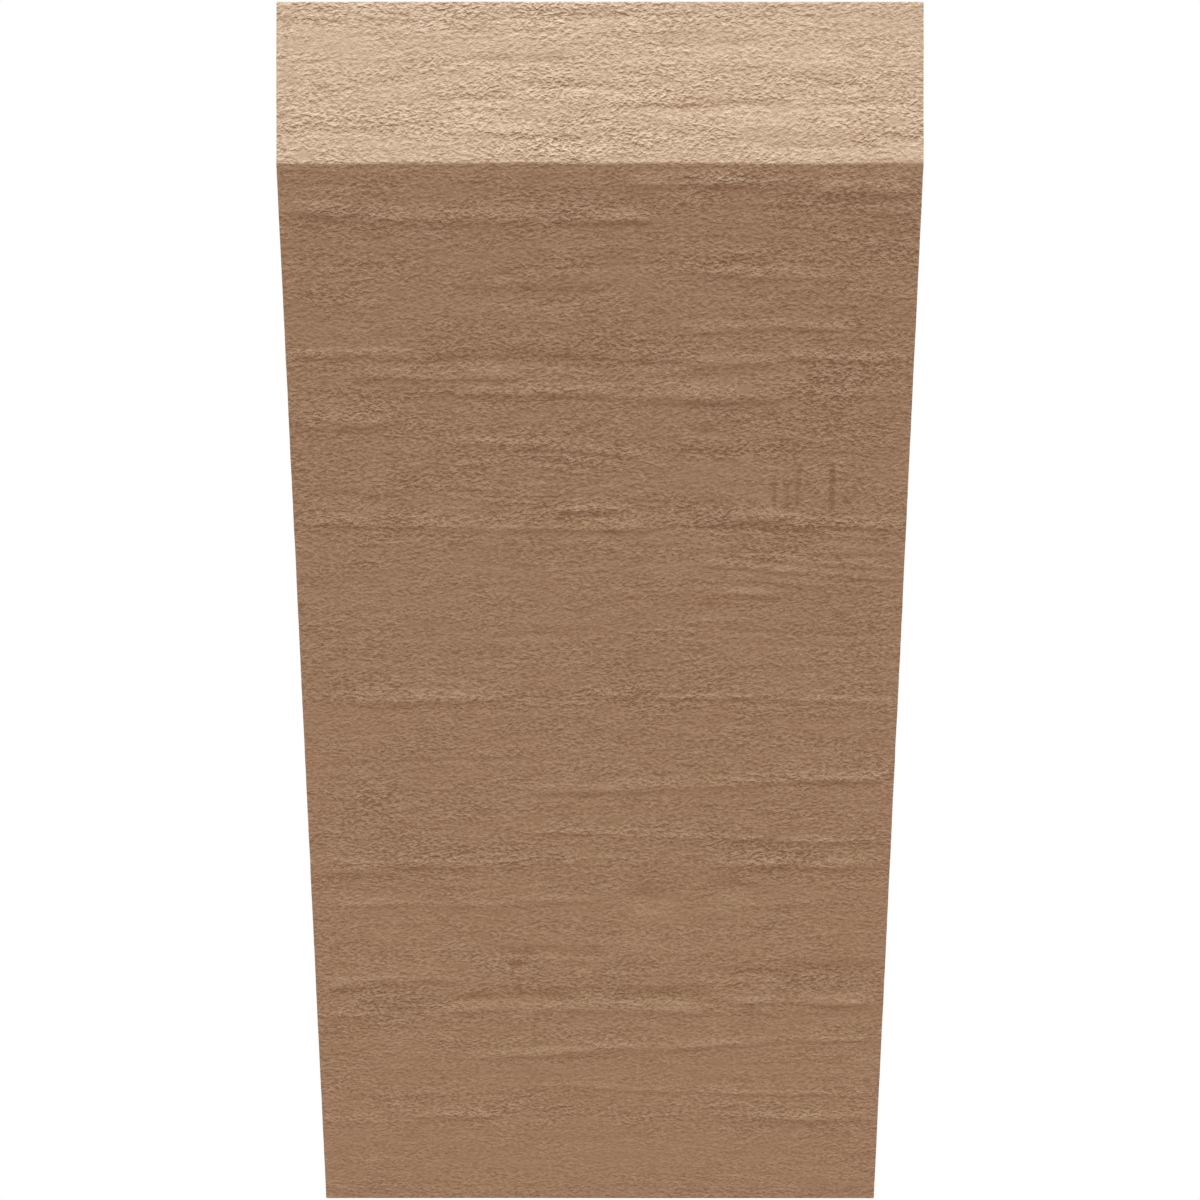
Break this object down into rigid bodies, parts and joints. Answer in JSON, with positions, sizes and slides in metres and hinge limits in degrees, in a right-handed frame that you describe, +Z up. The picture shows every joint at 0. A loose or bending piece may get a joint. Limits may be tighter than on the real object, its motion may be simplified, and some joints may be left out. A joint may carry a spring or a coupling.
{
  "type": "corbel",
  "caption": "Block corbel for under a shelf, mantel or eave: a square nose over one straight rake back to a small foot on the wall, moulded with a rough-sawn timber grain.",
  "frame": {"origin": "centre of the flat back face, on the wall", "axes": "+X to the right of someone facing the wall, +Y into the wall, +Z up; the nose points along -Y"},
  "size_m": [0.1524, 0.2032, 0.3048],
  "materials": {
    "tan_primer": "matt factory primer, pale tan, over a moulded rough-sawn grain"
  },
  "bodies": {
    "root": {"corbel_body": "tan_primer"}
  },
  "joints": []
}
